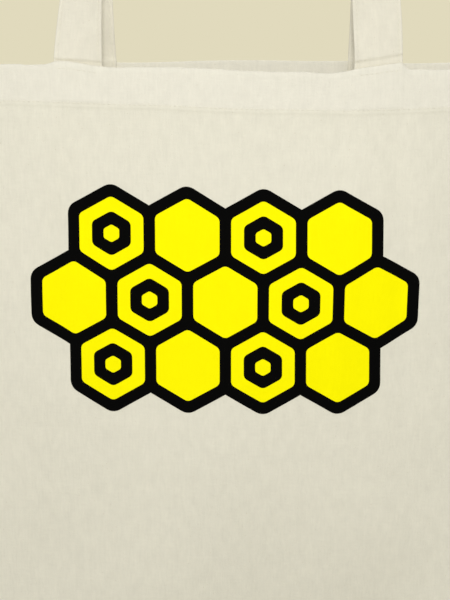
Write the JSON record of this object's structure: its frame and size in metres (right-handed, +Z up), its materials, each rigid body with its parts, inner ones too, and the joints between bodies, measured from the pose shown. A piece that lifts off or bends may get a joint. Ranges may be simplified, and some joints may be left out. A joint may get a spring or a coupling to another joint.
{
  "type": "cotton tote bag",
  "caption": "Flat cotton tote bag with a hemmed open mouth, long strap loops that fold down and a honeycomb print on its front, hanging from a peg.",
  "frame": {"origin": "middle of the round peg that both strap loops hang over", "axes": "+Z up, -Y out of the printed front, +X to the right as seen from the front"},
  "size_m": [0.38, 0.063, 0.712],
  "materials": {
    "cotton": "matte",
    "strap": "matte",
    "print_yellow": "matte",
    "print_black": "matte"
  },
  "bodies": {
    "bag": {"front_panel": "cotton", "back_panel": "cotton", "front_hem": "cotton", "back_hem": "cotton", "side_seam_left": "cotton", "side_seam_right": "cotton", "bottom_seam": "cotton", "front_strap_end_left": "strap", "front_strap_end_right": "strap", "back_strap_end_left": "strap", "back_strap_end_right": "strap", "print_yellow": "print_yellow", "print_black": "print_black"},
    "front_handle": {"front_handle": "strap"},
    "back_handle": {"back_handle": "strap"}
  },
  "joints": [
    {"name": "front_handle_fold", "type": "hinge", "parent": "bag", "child": "front_handle", "pos_m": [0, -0.01894, -0.23], "axis": [1, 0, 0], "range_deg": [0, 170]},
    {"name": "back_handle_fold", "type": "hinge", "parent": "bag", "child": "back_handle", "pos_m": [0, 0.01894, -0.23], "axis": [-1, 0, 0], "range_deg": [0, 170]}
  ]
}
